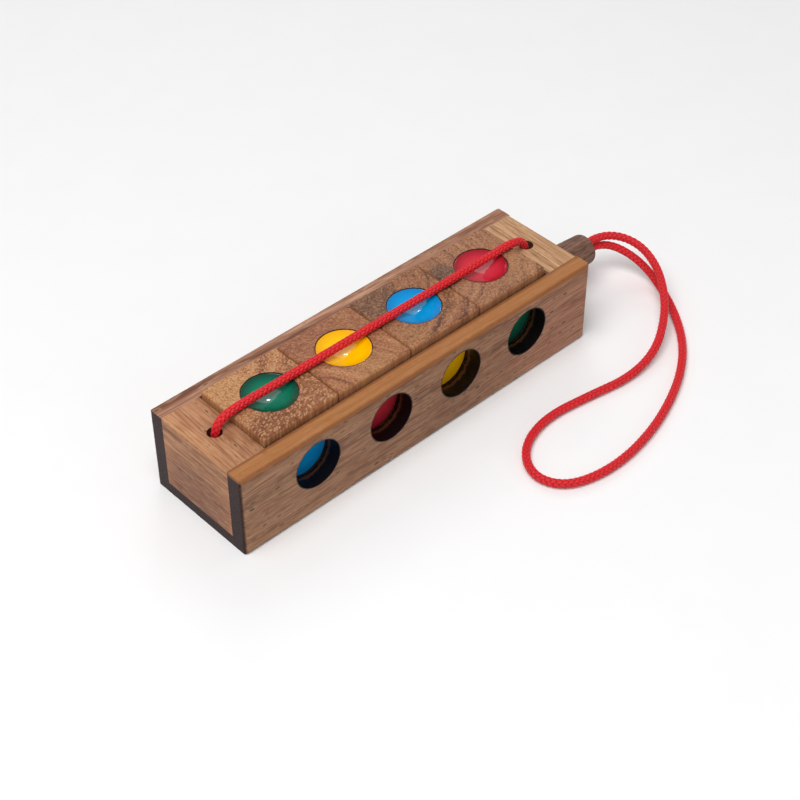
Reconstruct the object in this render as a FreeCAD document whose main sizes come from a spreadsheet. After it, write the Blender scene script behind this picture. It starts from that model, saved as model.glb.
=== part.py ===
"""Four-cube colour-row puzzle in an open wooden tray, held shut by a cord and a peg.

Frame: +X along the tray towards the peg, +Y to the back wall, +Z up.
Origin: centre of the tray's underside. All sizes are in millimetres.
"""
import FreeCAD
import Part
import math
import os

import Sketcher
from FreeCAD import Placement, Rotation, Vector

# Driving dimensions: alias, value, meaning.
DIMENSIONS = [
    ("cube_size", 24.0, "edge of one cube"),
    ("cube_round", 0.8, "rounding of the cubes' edges"),
    ("cube_gap", 0.2, "gap between neighbouring cubes, and at each end of the row"),
    ("side_gap", 0.5, "gap between a cube and each side wall"),
    ("wall", 5.0, "thickness of the side walls"),
    ("floor_thickness", 3.3, "thickness of the floor panel"),
    ("cube_proud", 2.3, "height of the cubes' tops above the walls and end blocks"),
    ("end_block_length", 11.5, "length of each end block along the tray"),
    ("outer_round", 1.2, "rounding of the walls' outer edges"),
    ("block_round", 0.7, "rounding of the end blocks' top outer edge"),
    ("window_radius", 6.9, "radius of the viewing windows"),
    ("inlay_radius", 7.1, "radius of a resin inlay"),
    ("glue_line", 0.05, "gap round an inlay in its recess"),
    ("recess_depth", 3.0, "depth of the recess drilled for an inlay"),
    ("inlay_thickness", 2.7, "thickness of an inlay at its rim"),
    ("inlay_dish", 0.4, "hollow in the middle of an inlay's face"),
    ("cord_diameter", 2.4, "diameter of the braided cord"),
    ("cord_hole_clearance", 0.7, "gap between the cord and its upright holes"),
    ("cord_hole_inset", 6.4, "distance of the cord holes from the tray's ends"),
    ("cord_rest_gap", 0.1, "gap between the tight cord and the cubes"),
    ("cord_turn_radius", 3.5, "radius of the tight cord where it leaves a hole"),
    ("cord_elbow_radius", 3.0, "radius of the cord's elbow inside the right block"),
    ("knot_radius", 2.6, "radius of the stopper knot"),
    ("knot_height", 4.0, "height of the stopper knot"),
    ("knot_side_room", 0.5, "gap between the knot and its pocket's wall"),
    ("knot_top_room", 1.0, "gap between the knot and its pocket's roof"),
    ("socket_height", 11.0, "height of the peg's axis above the table"),
    ("strand_gap", 0.3, "gap between the two strands in the peg's bore"),
    ("bore_clearance", 0.25, "gap between the strands and the peg's bore"),
    ("shank_wall", 1.4, "wood between the peg's bore and the outside of its shank"),
    ("peg_clearance", 0.1, "gap between the peg's shank and its socket"),
    ("shank_end_gap", 0.4, "gap between the shank's inner end and the upright hole"),
    ("peg_shoulder", 1.35, "width of the shoulder that seats on the tray's end"),
    ("peg_head_length", 18.6, "length of the head outside the tray"),
    ("peg_end_wall", 1.55, "wood round the bore at the head's free end"),
    ("peg_end_round", 1.3, "rounding of the head's free end"),
    ("strand_straight", 4.0, "straight stretch of each strand outside the peg"),
    ("return_end_length", 14.0, "length of the cord's end glued inside the peg"),
]
CUBE_COUNT = 4

# Formulas that several pieces share, for the expressions below.
INNER_LENGTH = f"({CUBE_COUNT} * Sizes.cube_size + {CUBE_COUNT + 1} * Sizes.cube_gap)"
TRAY_LENGTH = f"({INNER_LENGTH} + 2 * Sizes.end_block_length)"
INNER_WIDTH = "(Sizes.cube_size + 2 * Sizes.side_gap)"
CUBE_TOP = "(Sizes.floor_thickness + Sizes.cube_size)"
TRAY_HEIGHT = f"({CUBE_TOP} - Sizes.cube_proud)"
BLOCK_HEIGHT = f"({TRAY_HEIGHT} - Sizes.floor_thickness)"
CORD_HOLE_RADIUS = "(Sizes.cord_diameter / 2 + Sizes.cord_hole_clearance)"
STRAND_OFFSET = "((Sizes.cord_diameter + Sizes.strand_gap) / 2)"
BORE_RADIUS = f"({STRAND_OFFSET} + Sizes.cord_diameter / 2 + Sizes.bore_clearance)"
SHANK_RADIUS = f"({BORE_RADIUS} + Sizes.shank_wall)"
SHANK_LENGTH = f"(Sizes.cord_hole_inset - {CORD_HOLE_RADIUS} - Sizes.shank_end_gap)"
SOCKET_RADIUS = f"({SHANK_RADIUS} + Sizes.peg_clearance)"
PEG_TIP = f"({TRAY_LENGTH} / 2 + Sizes.peg_head_length)"

# Free loop of cord, between the ends of the two strands' straight stretches outside the peg:
# out from the upper strand, over the lower one, round, and back.
LOOP_ROUTE = [
    (86.9, -1.7, 12.1), (90.0, -5.6, 11.4), (90.8, -11.2, 10.4), (88.6, -18.0, 9.0),
    (84.0, -24.7, 7.5), (77.0, -31.4, 5.2), (67.0, -37.0, 2.6), (55.0, -38.4, 1.3),
    (41.6, -35.9, 1.3), (28.5, -34.0, 1.3), (18.3, -36.2, 1.3), (11.7, -41.4, 1.3),
    (9.4, -48.1, 1.3), (12.6, -54.4, 1.3), (20.6, -57.6, 1.3), (31.5, -58.2, 1.3),
    (44.0, -56.0, 1.3), (55.5, -52.0, 1.3), (66.0, -46.8, 1.3), (75.5, -39.8, 1.3),
    (83.3, -30.8, 1.3), (88.9, -21.2, 1.7), (91.2, -12.9, 3.9), (90.1, -6.8, 6.6),
    (87.0, -2.0, 8.8),
]
ARC_SHARE = 0.45        # share of the shorter run that each arc may take
CUT_PAST = 1.0          # how far a cutter runs past the face it cuts
FACES = {
    "top": Vector(0, 0, 1), "bottom": Vector(0, 0, -1), "front": Vector(0, -1, 0),
    "back": Vector(0, 1, 0), "left": Vector(-1, 0, 0), "right": Vector(1, 0, 0),
}

doc = FreeCAD.newDocument("CubeTrayPuzzle")
nodes = []


def make_sheet():
    """Write the driving dimensions into a spreadsheet, one alias to a row."""
    sheet = doc.addObject("Spreadsheet::Sheet", "Sizes")
    for row, (alias, value, meaning) in enumerate(DIMENSIONS, start=1):
        sheet.set(f"A{row}", alias)
        sheet.set(f"B{row}", str(value))
        sheet.set(f"C{row}", meaning)
        sheet.setAlias(f"B{row}", alias)
    doc.recompute()
    return sheet


sizes = make_sheet()


def value_of(formula):
    """Work out a formula over the sheet's cells."""
    return float(sizes.evalExpression(formula.replace("Sizes.", "")))


def bind(target, **formulas):
    """Bind properties to formulas; a double underscore in a name stands for a dot."""
    for name, formula in formulas.items():
        target.setExpression(name.replace("__", "."), formula)
    return target


def place(target, x="0", y="0", z="0"):
    """Bind an object's position to three formulas."""
    return bind(target, Placement__Base__x=x, Placement__Base__y=y, Placement__Base__z=z)


def keep(target, label):
    """Give a finished sub-part its label and list it for export."""
    target.Label = label
    nodes.append(target)
    return target


# ---- PartDesign helpers -----------------------------------------------------------

def new_body(label):
    body = doc.addObject("PartDesign::Body", label)
    return keep(body, label)


def new_sketch(body, role, name, offset=None):
    """Attach a sketch to one of the body's own origin planes, lifted by a formula."""
    sketch = body.newObject("Sketcher::SketchObject", name)
    plane = next(item for item in body.Origin.OriginFeatures if item.Role == role)
    sketch.AttachmentSupport = [(plane, "")]
    sketch.MapMode = "FlatFace"
    if offset:
        bind(sketch, AttachmentOffset__Base__z=offset)
    return sketch


def add_rectangle(sketch, width, height):
    """Draw a rectangle from the sketch's origin, with its two sides bound."""
    w = value_of(width)
    h = value_of(height)
    corners = [Vector(0, 0, 0), Vector(w, 0, 0), Vector(w, h, 0), Vector(0, h, 0)]
    for start, end in zip(corners, corners[1:] + corners[:1]):
        sketch.addGeometry(Part.LineSegment(start, end), False)
    for side in range(4):
        sketch.addConstraint(Sketcher.Constraint("Coincident", side, 2, (side + 1) % 4, 1))
    for side in (0, 2):
        sketch.addConstraint(Sketcher.Constraint("Horizontal", side))
    for side in (1, 3):
        sketch.addConstraint(Sketcher.Constraint("Vertical", side))
    sketch.addConstraint(Sketcher.Constraint("Coincident", 0, 1, -1, 1))
    bottom = sketch.addConstraint(Sketcher.Constraint("DistanceX", 0, 1, 0, 2, w))
    sketch.setExpression(f"Constraints[{bottom}]", width)
    right = sketch.addConstraint(Sketcher.Constraint("DistanceY", 1, 1, 1, 2, h))
    sketch.setExpression(f"Constraints[{right}]", height)


def add_circle(sketch, x, y, radius):
    """Draw a circle with its centre and radius bound."""
    centre = Vector(value_of(x), value_of(y), 0)
    circle = sketch.addGeometry(Part.Circle(centre, Vector(0, 0, 1), value_of(radius)), False)
    across = sketch.addConstraint(Sketcher.Constraint("DistanceX", -1, 1, circle, 3, centre.x))
    sketch.setExpression(f"Constraints[{across}]", x)
    up = sketch.addConstraint(Sketcher.Constraint("DistanceY", -1, 1, circle, 3, centre.y))
    sketch.setExpression(f"Constraints[{up}]", y)
    size = sketch.addConstraint(Sketcher.Constraint("Radius", circle, value_of(radius)))
    sketch.setExpression(f"Constraints[{size}]", radius)


def add_pad(body, sketch, length, reverse=False):
    pad = body.newObject("PartDesign::Pad", f"{body.Name}_pad")
    pad.Profile = sketch
    pad.Reversed = reverse
    bind(pad, Length=length)
    doc.recompute()
    return pad


def add_pocket(body, sketch, length, reverse=False):
    """Cut a pocket, and make sure that it took material away."""
    volume = body.Shape.Volume
    pocket = body.newObject("PartDesign::Pocket", f"{sketch.Name}_pocket")
    pocket.Profile = sketch
    pocket.Reversed = reverse
    bind(pocket, Length=length)
    doc.recompute()
    if body.Shape.Volume > volume - 1.0:
        raise RuntimeError(f"{pocket.Name} cuts nothing")
    return pocket


def add_fillet(body, base, radius, wanted):
    """Round the straight edges of a feature that a test picks out."""
    names = []
    for number, edge in enumerate(base.Shape.Edges, start=1):
        if isinstance(edge.Curve, Part.Line) and wanted(edge.BoundBox):
            names.append(f"Edge{number}")
    fillet = body.newObject("PartDesign::Fillet", f"{body.Name}_fillet")
    fillet.Base = (base, names)
    bind(fillet, Radius=radius)
    doc.recompute()
    return fillet


# ---- Tray -------------------------------------------------------------------------

def cube_centre(number):
    """Formula for a cube's centre along X, counted from 1 at the left."""
    steps = number - (CUBE_COUNT + 1) / 2
    return f"({steps} * (Sizes.cube_size + Sizes.cube_gap))"


def window_places():
    """Formulas for the windows' centres along X, from the tray's left end."""
    return [f"({TRAY_LENGTH} / 2 + {cube_centre(number)})" for number in range(1, CUBE_COUNT + 1)]


def make_wall(label, front):
    """A side wall with one window to each cube and its outer edges rounded."""
    body = new_body(label)
    sketch = new_sketch(body, "XZ_Plane", f"{label}_outline")
    add_rectangle(sketch, TRAY_LENGTH, TRAY_HEIGHT)
    for x in window_places():
        add_circle(sketch, x, "Sizes.floor_thickness + Sizes.cube_size / 2", "Sizes.window_radius")
    pad = add_pad(body, sketch, "Sizes.wall", reverse=not front)
    outside = -value_of("Sizes.wall") if front else value_of("Sizes.wall")

    def on_outer_face(box):
        return abs(box.YMin - outside) < 1e-6 and abs(box.YMax - outside) < 1e-6

    add_fillet(body, pad, "Sizes.outer_round", on_outer_face)
    side = "-" if front else ""
    place(body, x=f"-{TRAY_LENGTH} / 2", y=f"{side}{INNER_WIDTH} / 2")


def make_floor():
    """The floor panel between the side walls, with one window under each cube."""
    body = new_body("floor_panel")
    sketch = new_sketch(body, "XY_Plane", "floor_outline")
    add_rectangle(sketch, TRAY_LENGTH, INNER_WIDTH)
    for x in window_places():
        add_circle(sketch, x, f"{INNER_WIDTH} / 2", "Sizes.window_radius")
    add_pad(body, sketch, "Sizes.floor_thickness")
    place(body, x=f"-{TRAY_LENGTH} / 2", y=f"-{INNER_WIDTH} / 2")


def make_end_block(label, left):
    """A block glued between the walls on the floor; returns its body."""
    body = new_body(label)
    sketch = new_sketch(body, "XY_Plane", f"{label}_outline")
    add_rectangle(sketch, "Sizes.end_block_length", INNER_WIDTH)
    pad = add_pad(body, sketch, BLOCK_HEIGHT)
    outside = 0.0 if left else value_of("Sizes.end_block_length")
    top = value_of(BLOCK_HEIGHT)

    def top_outer_edge(box):
        return abs(box.XMax - outside) < 1e-6 and abs(box.XMin - outside) < 1e-6 and box.ZMin > top - 1e-6

    add_fillet(body, pad, "Sizes.block_round", top_outer_edge)
    start = f"-{TRAY_LENGTH} / 2" if left else f"{INNER_LENGTH} / 2"
    place(body, x=start, y=f"-{INNER_WIDTH} / 2", z="Sizes.floor_thickness")
    return body


def make_left_block():
    """The left block: a cord hole right through, widened from below for the knot."""
    body = make_end_block("left_end_block", left=True)
    hole = new_sketch(body, "XY_Plane", "left_cord_hole", offset=BLOCK_HEIGHT)
    add_circle(hole, "Sizes.cord_hole_inset", f"{INNER_WIDTH} / 2", CORD_HOLE_RADIUS)
    add_pocket(body, hole, BLOCK_HEIGHT)
    pocket = new_sketch(body, "XY_Plane", "knot_room")
    pocket_radius = "Sizes.knot_radius + Sizes.knot_side_room"
    add_circle(pocket, "Sizes.cord_hole_inset", f"{INNER_WIDTH} / 2", pocket_radius)
    add_pocket(body, pocket, "Sizes.knot_height + Sizes.knot_top_room", reverse=True)


def make_right_block():
    """The right block: an upright cord hole that turns into the peg's socket."""
    body = make_end_block("right_end_block", left=False)
    hole_x = "Sizes.end_block_length - Sizes.cord_hole_inset"
    hole = new_sketch(body, "XY_Plane", "right_cord_hole", offset=BLOCK_HEIGHT)
    add_circle(hole, hole_x, f"{INNER_WIDTH} / 2", CORD_HOLE_RADIUS)
    add_pocket(body, hole, f"{TRAY_HEIGHT} - Sizes.socket_height")
    socket = new_sketch(body, "YZ_Plane", "peg_socket", offset="Sizes.end_block_length")
    socket_z = "Sizes.socket_height - Sizes.floor_thickness"
    add_circle(socket, f"{INNER_WIDTH} / 2", socket_z, SOCKET_RADIUS)
    add_pocket(body, socket, "Sizes.cord_hole_inset")


# ---- Cubes ------------------------------------------------------------------------

def add_primitive(kind, name, **formulas):
    return bind(doc.addObject(f"Part::{kind}", name), **formulas)


def face_placement(target, normal, number, depth):
    """Stand an object's +Z on a face's normal, its foot at the recess's floor."""
    target.Placement = Placement(Vector(), Rotation(Vector(0, 0, 1), normal))
    reach = f"(Sizes.cube_size / 2 - {depth})"
    place(
        target,
        x=f"{cube_centre(number)} + {normal.x} * {reach}",
        y=f"{normal.y} * {reach}",
        z=f"Sizes.floor_thickness + Sizes.cube_size / 2 + {normal.z} * {reach}",
    )


def make_cube_block(number):
    """A wooden cube with rounded edges and a round recess in each face."""
    name = f"cube_{number}_block"
    side = "Sizes.cube_size"
    box = add_primitive("Box", f"{name}_box", Length=side, Width=side, Height=side)
    place(box, x=f"{cube_centre(number)} - {side} / 2", y=f"-{side} / 2", z="Sizes.floor_thickness")
    doc.recompute()
    rounded = doc.addObject("Part::Fillet", f"{name}_rounded")
    rounded.Base = box
    radius = value_of("Sizes.cube_round")
    rounded.Edges = [(edge, radius, radius) for edge in range(1, 13)]
    cutters = []
    for face, normal in FACES.items():
        recess = add_primitive(
            "Cylinder", f"{name}_{face}_recess",
            Radius="Sizes.inlay_radius + Sizes.glue_line", Height=f"Sizes.recess_depth + {CUT_PAST}",
        )
        face_placement(recess, normal, number, "Sizes.recess_depth")
        cutters.append(recess)
    recesses = doc.addObject("Part::MultiFuse", f"{name}_recesses")
    recesses.Shapes = cutters
    block = doc.addObject("Part::Cut", name)
    block.Base = rounded
    block.Tool = recesses
    keep(block, name)


def make_inlay(number, face, normal):
    """A poured resin disc with a shallow hollow in its face."""
    name = f"cube_{number}_{face}_inlay"
    disc = add_primitive(
        "Cylinder", f"{name}_disc", Radius="Sizes.inlay_radius", Height="Sizes.inlay_thickness",
    )
    ball_radius = "((Sizes.inlay_radius ^ 2 + Sizes.inlay_dish ^ 2) / (2 * Sizes.inlay_dish))"
    ball = add_primitive("Sphere", f"{name}_ball", Radius=ball_radius)
    place(ball, z=f"Sizes.inlay_thickness - Sizes.inlay_dish + {ball_radius}")
    inlay = doc.addObject("Part::Cut", name)
    inlay.Base = disc
    inlay.Tool = ball
    face_placement(inlay, normal, number, "Sizes.recess_depth")
    keep(inlay, name)


# ---- Peg --------------------------------------------------------------------------

def make_peg():
    """A turned peg: a shank in the socket, a tapered head outside, bored right through."""
    along = Rotation(Vector(0, 1, 0), 90)
    end = f"{TRAY_LENGTH} / 2"
    shank = add_primitive("Cylinder", "peg_shank", Radius=SHANK_RADIUS, Height=SHANK_LENGTH)
    shank.Placement.Rotation = along
    place(shank, x=f"{end} - {SHANK_LENGTH}", z="Sizes.socket_height")
    head = add_primitive(
        "Cone", "peg_head", Radius1=f"{SOCKET_RADIUS} + Sizes.peg_shoulder",
        Radius2=f"{BORE_RADIUS} + Sizes.peg_end_wall", Height="Sizes.peg_head_length",
    )
    head.Placement.Rotation = along
    place(head, x=end, z="Sizes.socket_height")
    whole = doc.addObject("Part::Fuse", "peg_whole")
    whole.Base = shank
    whole.Tool = head
    doc.recompute()
    rounded = doc.addObject("Part::Fillet", "peg_rounded")
    rounded.Base = whole
    tip = value_of(PEG_TIP)
    radius = value_of("Sizes.peg_end_round")
    rim = [
        number for number, edge in enumerate(whole.Shape.Edges, start=1)
        if isinstance(edge.Curve, Part.Circle) and abs(edge.BoundBox.XMin - tip) < 1e-4
    ]
    rounded.Edges = [(number, radius, radius) for number in rim]
    bore_length = f"{SHANK_LENGTH} + Sizes.peg_head_length + 2 * {CUT_PAST}"
    bore = add_primitive("Cylinder", "peg_bore", Radius=BORE_RADIUS, Height=bore_length)
    bore.Placement.Rotation = along
    place(bore, x=f"{end} - {SHANK_LENGTH} - {CUT_PAST}", z="Sizes.socket_height")
    peg = doc.addObject("Part::Cut", "peg")
    peg.Base = rounded
    peg.Tool = bore
    keep(peg, "peg")


# ---- Cord -------------------------------------------------------------------------

def cord_wire(points, radius=None):
    """Straight runs joined by tangent arcs; returns the wire and the arcs' radii."""
    pts = [Vector(*point) for point in points]
    edges = []
    radii = []
    start = pts[0]
    for before, corner, after in zip(pts, pts[1:], pts[2:]):
        arriving = (corner - before).normalize()
        leaving = (after - corner).normalize()
        half_turn = arriving.getAngle(leaving) / 2
        shorter = min((corner - before).Length, (after - corner).Length)
        bend = radius or ARC_SHARE * shorter / math.tan(half_turn)
        trim = bend * math.tan(half_turn)
        arc_start = corner - arriving * trim
        arc_end = corner + leaving * trim
        inward = (leaving - arriving).normalize()
        middle = corner + inward * (bend / math.cos(half_turn) - bend)
        if (arc_start - start).Length > 1e-6:
            edges.append(Part.LineSegment(start, arc_start).toShape())
        edges.append(Part.Arc(arc_start, middle, arc_end).toShape())
        radii.append(bend)
        start = arc_end
    if (pts[-1] - start).Length > 1e-6:
        edges.append(Part.LineSegment(start, pts[-1]).toShape())
    return Part.Wire(edges), radii


def make_cord(label, points, radius=None):
    """A stretch of cord swept along its route; prints its length and radii."""
    wire, radii = cord_wire(points, radius)
    cord_radius = value_of("Sizes.cord_diameter") / 2
    start = Vector(*points[0])
    profile = Part.Wire(Part.makeCircle(cord_radius, start, Vector(*points[1]) - start))
    tube = wire.makePipeShell([profile], True, True)
    expected = math.pi * cord_radius ** 2 * wire.Length
    if abs(tube.Volume / expected - 1) > 0.01:
        raise RuntimeError(f"{label}: volume {tube.Volume:.2f}, expected {expected:.2f}")
    print(f"{label}: length {wire.Length:.1f} mm, radii {[round(r, 1) for r in radii]}")
    feature = doc.addObject("Part::Feature", label)
    feature.Shape = tube
    keep(feature, label)


def make_straight_cord(label, length, **position):
    """A straight stretch of cord along X, or upright."""
    upright = position.pop("upright", False)
    cord = add_primitive("Cylinder", label, Radius="Sizes.cord_diameter / 2", Height=length)
    if not upright:
        cord.Placement.Rotation = Rotation(Vector(0, 1, 0), 90)
    place(cord, **position)
    keep(cord, label)


def make_held_cord():
    """The tight cord: knot, left leg, turn, span over the cubes, turn and right leg."""
    hole_x = f"({TRAY_LENGTH} / 2 - Sizes.cord_hole_inset)"
    knot_top = "(Sizes.floor_thickness + Sizes.knot_height)"
    span_z = f"({CUBE_TOP} + Sizes.cord_rest_gap + Sizes.cord_diameter / 2)"
    leg_top = f"({span_z} - Sizes.cord_turn_radius)"
    half_span = f"({hole_x} - Sizes.cord_turn_radius)"

    knot = add_primitive("Cylinder", "knot_plain", Radius="Sizes.knot_radius", Height="Sizes.knot_height")
    place(knot, x=f"-{hole_x}", z="Sizes.floor_thickness")
    doc.recompute()
    rounded = doc.addObject("Part::Fillet", "anchor_knot")
    rounded.Base = knot
    rim = [
        number for number, edge in enumerate(knot.Shape.Edges, start=1)
        if isinstance(edge.Curve, Part.Circle)
    ]
    round_size = value_of("(Sizes.knot_radius - Sizes.cord_diameter / 2) * 0.9")
    rounded.Edges = [(number, round_size, round_size) for number in rim]
    keep(rounded, "anchor_knot")

    make_straight_cord("cord_left_leg", f"{leg_top} - {knot_top}", upright=True, x=f"-{hole_x}", z=knot_top)
    make_straight_cord("cord_span", f"2 * {half_span}", x=f"-{half_span}", z=span_z)

    x = value_of(hole_x)
    z_top = value_of(span_z)
    z_leg = value_of(leg_top)
    turn = value_of("Sizes.cord_turn_radius")
    for label, side in (("cord_left_turn", -1), ("cord_right_turn", 1)):
        points = [(side * x, 0, z_leg), (side * x, 0, z_top), (side * (x - turn), 0, z_top)]
        make_cord(label, points, turn)

    strand_z = value_of(f"Sizes.socket_height + {STRAND_OFFSET}")
    points = [(x, 0, z_leg), (x, 0, strand_z), (value_of(PEG_TIP), 0, strand_z)]
    make_cord("cord_right_leg", points, value_of("Sizes.cord_elbow_radius"))


def make_free_loop():
    """The loose loop outside the peg, and its end glued back into the peg's bore."""
    tip = value_of(PEG_TIP)
    upper = value_of(f"Sizes.socket_height + {STRAND_OFFSET}")
    lower = value_of(f"Sizes.socket_height - {STRAND_OFFSET}")
    straight_end = tip + value_of("Sizes.strand_straight")
    way_out = [(tip, 0, upper), (straight_end, 0, upper)]
    way_back = [(straight_end, 0, lower), (tip, 0, lower)]
    make_cord("cord_loop", way_out + LOOP_ROUTE + way_back)
    make_straight_cord(
        "cord_return_end", "Sizes.return_end_length",
        x=f"{PEG_TIP} - Sizes.return_end_length", z=f"Sizes.socket_height - {STRAND_OFFSET}",
    )


# ---- Check and export -------------------------------------------------------------

def check_document():
    """Refuse to export a failed object or a broken shape."""
    for item in doc.Objects:
        if "Invalid" in item.State or "Error" in item.State:
            raise RuntimeError(f"{item.Label} failed: {item.State}")
    for item in nodes:
        if item.Shape.isNull() or not item.Shape.isValid():
            raise RuntimeError(f"{item.Label} has a broken shape")


def export_nodes():
    os.makedirs("parts", exist_ok=True)
    for item in nodes:
        item.Shape.exportStep(f"parts/{item.Label}.step")
    print(f"{len(nodes)} nodes, {sum(len(item.Shape.Solids) for item in nodes)} solids")


make_wall("front_wall", front=True)
make_wall("back_wall", front=False)
make_floor()
make_left_block()
make_right_block()
for cube_number in range(1, CUBE_COUNT + 1):
    make_cube_block(cube_number)
    for face_name, face_normal in FACES.items():
        make_inlay(cube_number, face_name, face_normal)
make_peg()
make_held_cord()
make_free_loop()
doc.recompute()
check_document()
export_nodes()
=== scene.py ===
# %% [markdown]
# # A string-and-cube puzzle in a wooden tray
# Four wooden cubes sit in a long tray. Each face of a cube has a disc of coloured resin, and each wall of
# the tray has a round window that shows one disc. A braided red cord is tied in one end, crosses the cubes,
# goes down the other end and leaves through a turned peg as a hanging loop. The solid model is already
# packed, so this lesson only gives it its looks: woods, resin, scorched windows and a real braid.

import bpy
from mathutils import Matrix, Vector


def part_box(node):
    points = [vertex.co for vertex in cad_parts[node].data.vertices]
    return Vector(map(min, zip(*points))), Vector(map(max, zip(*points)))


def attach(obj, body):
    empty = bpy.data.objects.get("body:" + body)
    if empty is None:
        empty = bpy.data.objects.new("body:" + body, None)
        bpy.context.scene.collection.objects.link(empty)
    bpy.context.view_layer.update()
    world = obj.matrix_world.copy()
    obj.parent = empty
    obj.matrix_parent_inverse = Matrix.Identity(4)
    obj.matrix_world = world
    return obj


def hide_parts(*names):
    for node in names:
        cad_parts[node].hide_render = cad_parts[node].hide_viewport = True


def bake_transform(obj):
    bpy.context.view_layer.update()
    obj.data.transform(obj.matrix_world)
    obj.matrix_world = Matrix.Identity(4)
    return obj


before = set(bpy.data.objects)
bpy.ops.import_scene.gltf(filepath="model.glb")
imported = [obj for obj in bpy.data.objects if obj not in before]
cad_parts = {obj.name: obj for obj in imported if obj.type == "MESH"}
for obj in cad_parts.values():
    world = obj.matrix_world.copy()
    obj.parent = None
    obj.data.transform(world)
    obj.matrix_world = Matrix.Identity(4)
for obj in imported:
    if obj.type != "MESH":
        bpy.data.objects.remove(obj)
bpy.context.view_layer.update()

# %% [markdown]
# ## Units and colours
# Sizes of a small wooden toy are easiest to read in millimetres, while Blender works in metres. Colours are
# written as the hex values that a painter would pick from a screen, and one function turns them to the
# linear values that the shaders want.

# %% Units and colours
import math
from collections import namedtuple

import bmesh
import bpy
import numpy as np
from mathutils import Matrix, Vector

MM = 0.001
SRGB_KNEE, SRGB_SLOPE, SRGB_OFFSET, SRGB_POWER = 0.04045, 12.92, 0.055, 2.4


def linear(code):
    """A hex colour such as '#aa7755' as linear red, green, blue and alpha."""
    parts = [int(code[i : i + 2], 16) / 255 for i in (1, 3, 5)]
    flat = [
        c / SRGB_SLOPE if c < SRGB_KNEE else ((c + SRGB_OFFSET) / (1 + SRGB_OFFSET)) ** SRGB_POWER
        for c in parts
    ]
    return (*flat, 1.0)


def metres(*point):
    """A point given in millimetres."""
    return tuple(c * MM for c in point)


print("tan wood is linear", [round(c, 3) for c in linear("#ab7b5d")])

# %% [markdown]
# ## The camera
# The toy is looked down on from its front left corner with a long lens, so that the far end is only a
# little smaller than the near one. A camera is placed by where it looks, how far it stands off, and its
# two angles. Building its three axes by hand keeps the small tilt of the horizon exact.

# %% The camera
LOOK_AT = Vector(metres(-2.224, -9.946, 10.0))
AZIMUTH, ELEVATION, ROLL = (math.radians(a) for a in (-42.994, 42.320, -0.161))
STAND_OFF = 461.33 * MM
LENS_MM, SENSOR_MM = 81.07, 36.0
NEAR_CLIP, FAR_CLIP = 10 * MM, 10.0

scene = bpy.context.scene
back = Vector(
    (
        math.sin(AZIMUTH) * math.cos(ELEVATION),
        -math.cos(AZIMUTH) * math.cos(ELEVATION),
        math.sin(ELEVATION),
    )
)
level = Vector((0, 0, 1)).cross(back).normalized()
upright = back.cross(level)
right = math.cos(ROLL) * level + math.sin(ROLL) * upright
above = -math.sin(ROLL) * level + math.cos(ROLL) * upright
camera = bpy.data.objects.new("camera", bpy.data.cameras.new("camera"))
camera.data.lens, camera.data.sensor_width = LENS_MM, SENSOR_MM
camera.data.clip_start, camera.data.clip_end = NEAR_CLIP, FAR_CLIP
axes = Matrix((right, above, back)).transposed().to_4x4()
camera.matrix_world = Matrix.Translation(LOOK_AT + back * STAND_OFF) @ axes
scene.collection.objects.link(camera)
scene.camera = camera
scene.view_settings.view_transform = "Standard"
print("camera stands at", [round(c / MM) for c in camera.location], "mm")

# %% [markdown]
# ## The routes of the cord
# One soft cord makes both runs. The first is held: it rises from its knot, leans over the rim of its hole,
# lies along the cubes and dives into the far block and out through the peg. The second is the free loop,
# which leaves the peg, drops to the table and comes back. Each route is a NURBS spline with a few control
# points, because such a spline bends as evenly as a real cord.

# %% The routes of the cord
CORD_D = 2.4 * MM
HELD_ROUTE = [
    (-53.6, 0, 7.3), (-53.6, 0, 21.6), (-53.2, 0, 26.4), (-50.0, 0, 28.5),
    (-44.6, 0, 28.8), (-36.3, 0, 28.6), (-12.1, 0, 28.6), (12.1, 0, 28.6),
    (36.3, 0, 28.6), (42.0, 0, 28.65), (47.6, 0, 28.75), (52.2, 0, 27.2),
    (53.6, 0, 22.6), (53.6, 0, 15.35), (53.6, 0, 12.35), (56.6, 0, 12.35),
    (72.6, 0, 12.35),
]
LOOP_ROUTE = [
    (72.6, 0, 12.35), (78.6, 0, 12.35), (82.6, 0, 12.35), (86.9, -1.7, 12.1),
    (90.0, -5.6, 11.4), (90.8, -11.2, 10.4), (88.6, -18.0, 9.0), (84.0, -24.7, 7.5),
    (77.0, -31.4, 5.2), (67.0, -37.0, 2.6), (55.0, -38.4, 1.3), (41.6, -35.9, 1.3),
    (28.5, -34.0, 1.3), (18.3, -36.2, 1.3), (11.7, -41.4, 1.3), (9.4, -48.1, 1.3),
    (12.6, -54.4, 1.3), (20.6, -57.6, 1.3), (31.5, -58.2, 1.3), (44.0, -56.0, 1.3),
    (55.5, -52.0, 1.3), (66.0, -46.8, 1.3), (75.5, -39.8, 1.3), (83.3, -30.8, 1.3),
    (88.9, -21.2, 1.7), (91.2, -12.9, 3.9), (90.1, -6.8, 6.6), (87.0, -2.0, 8.8),
    (82.6, 0, 9.65), (78.6, 0, 9.65), (72.6, 0, 9.65),
]
SPLINE_ORDER = 3
SPLINE_STEPS = 24


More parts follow.
